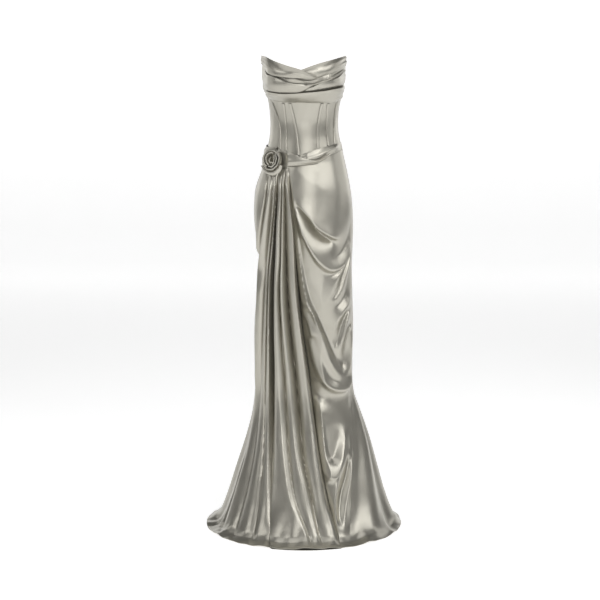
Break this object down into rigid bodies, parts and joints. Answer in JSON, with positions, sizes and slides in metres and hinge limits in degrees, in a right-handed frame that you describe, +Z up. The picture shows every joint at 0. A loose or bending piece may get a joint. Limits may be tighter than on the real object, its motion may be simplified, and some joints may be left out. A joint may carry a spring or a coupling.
{
  "type": "strapless dress",
  "caption": "Floor-length strapless evening dress in draped satin, with a boned corset, cowl bust folds, a hip sash with a rolled rosette, a cascade and a skirt of swags.",
  "frame": {"origin": "middle of the waist, where the corset is held by the wearer", "axes": "+Z up, the front faces -Y, +X is the wearer's left"},
  "size_m": [0.593, 0.5881, 1.4097],
  "materials": {
    "satin": "sage champagne duchess satin with a strong soft sheen",
    "zip_metal": "dull nickel-plated metal"
  },
  "bodies": {
    "gown": {"back_zip": "satin", "bust_band": "satin", "bust_cowl_inner": "satin", "bust_cowl_left": "satin", "bust_cowl_right": "satin", "bust_fold_left": "satin", "bust_fold_right": "satin", "cascade": "satin", "casing_back_left": "satin", "casing_back_right": "satin", "casing_front_left": "satin", "casing_front_right": "satin", "casing_mid_front_left": "satin", "casing_mid_front_right": "satin", "casing_side_back_left": "satin", "casing_side_back_right": "satin", "casing_side_front_left": "satin", "casing_side_front_right": "satin", "corset_centre_back_left": "satin", "corset_centre_back_right": "satin", "corset_centre_front": "satin", "corset_mid_front_left": "satin", "corset_mid_front_right": "satin", "corset_side_back_left": "satin", "corset_side_back_right": "satin", "corset_side_front_left": "satin", "corset_side_front_right": "satin", "corset_side_left": "satin", "corset_side_right": "satin", "rosette_base": "satin", "rosette_loop": "satin", "rosette_petal_1": "satin", "rosette_petal_2": "satin", "rosette_petal_3": "satin", "rosette_petal_4": "satin", "rosette_petal_5": "satin", "rosette_petal_6": "satin", "sash_back_left": "satin", "sash_back_right": "satin", "sash_lower": "satin", "sash_upper": "satin", "skirt_back_left": "satin", "skirt_back_right": "satin", "skirt_front_left": "satin", "skirt_front_right": "satin", "zip_slider": "zip_metal"},
    "pull_tab": {"zip_pull_tab": "zip_metal"}
  },
  "joints": [
    {"name": "pull_tab_hinge", "type": "hinge", "parent": "gown", "child": "pull_tab", "pos_m": [0, 0.09771, 0.1], "axis": [1, 0, 0], "range_deg": [0, 150]}
  ]
}
